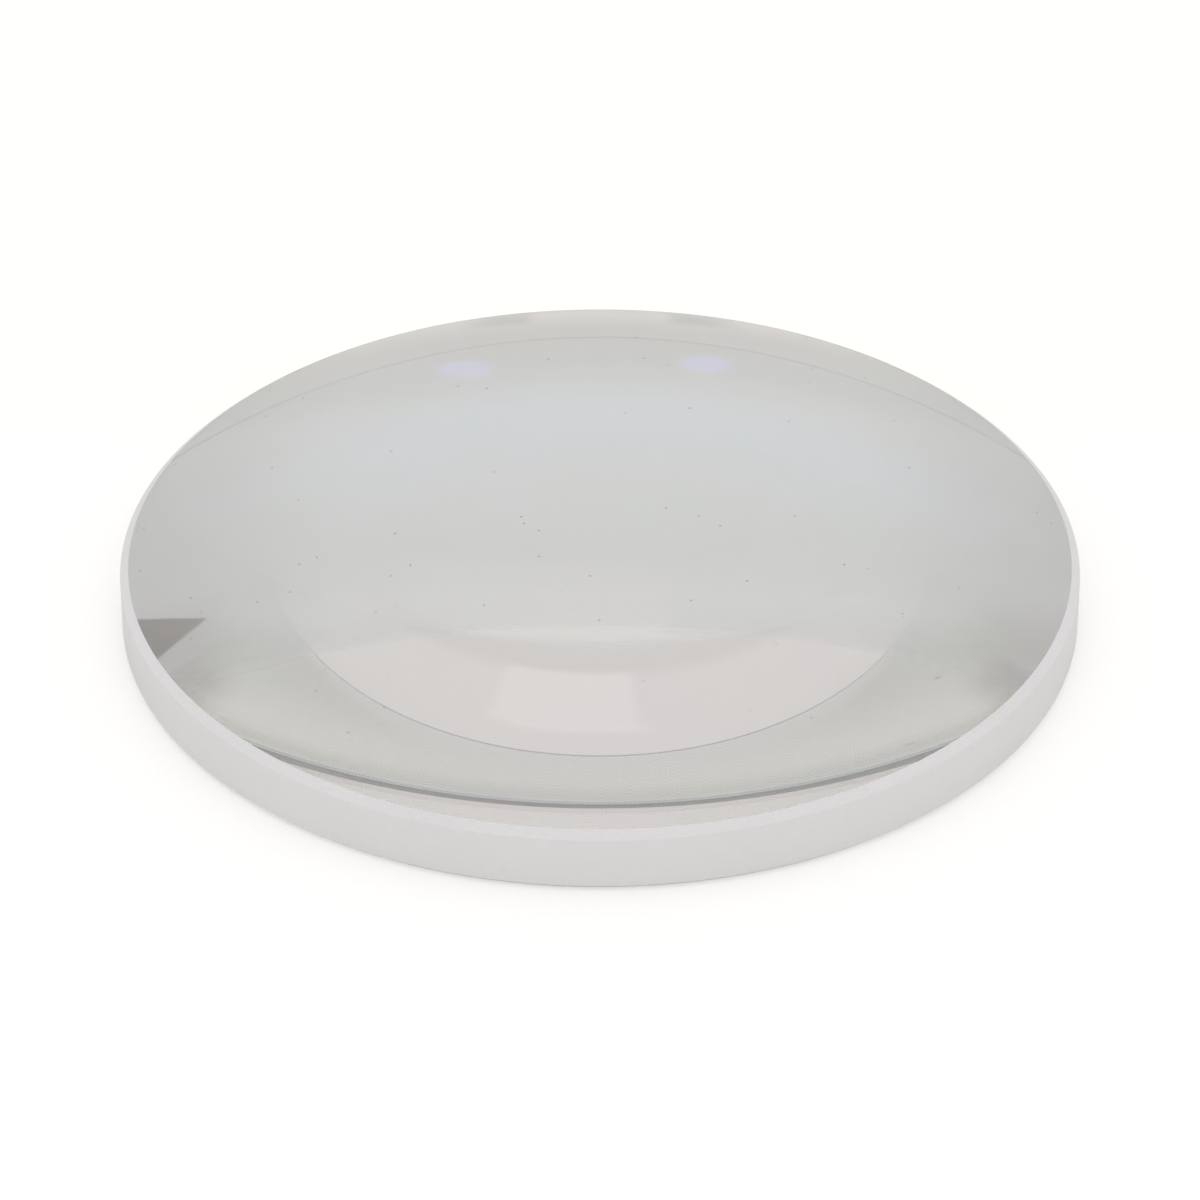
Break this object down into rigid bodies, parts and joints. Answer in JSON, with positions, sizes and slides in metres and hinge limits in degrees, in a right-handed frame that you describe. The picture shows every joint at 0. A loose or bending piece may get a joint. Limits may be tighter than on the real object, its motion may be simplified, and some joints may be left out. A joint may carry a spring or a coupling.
{
  "type": "aspheric lens",
  "caption": "Plano-convex aspheric glass lens with coated polished faces, a ground cylindrical edge and ground bevels, lying on its flat face with the dome up.",
  "frame": {"origin": "middle of the flat face, which the lens rests on", "axes": "+Z along the optical axis, from the flat face towards the vertex of the aspheric dome; +X and +Y are any pair across it, since the lens is a body of revolution"},
  "size_m": [0.075, 0.075, 0.0147],
  "materials": {
    "glass": "polished and anti-reflection coated on both faces, fine ground and matt on the edge and bevels"
  },
  "bodies": {
    "root": {"lens": "glass"}
  },
  "joints": []
}
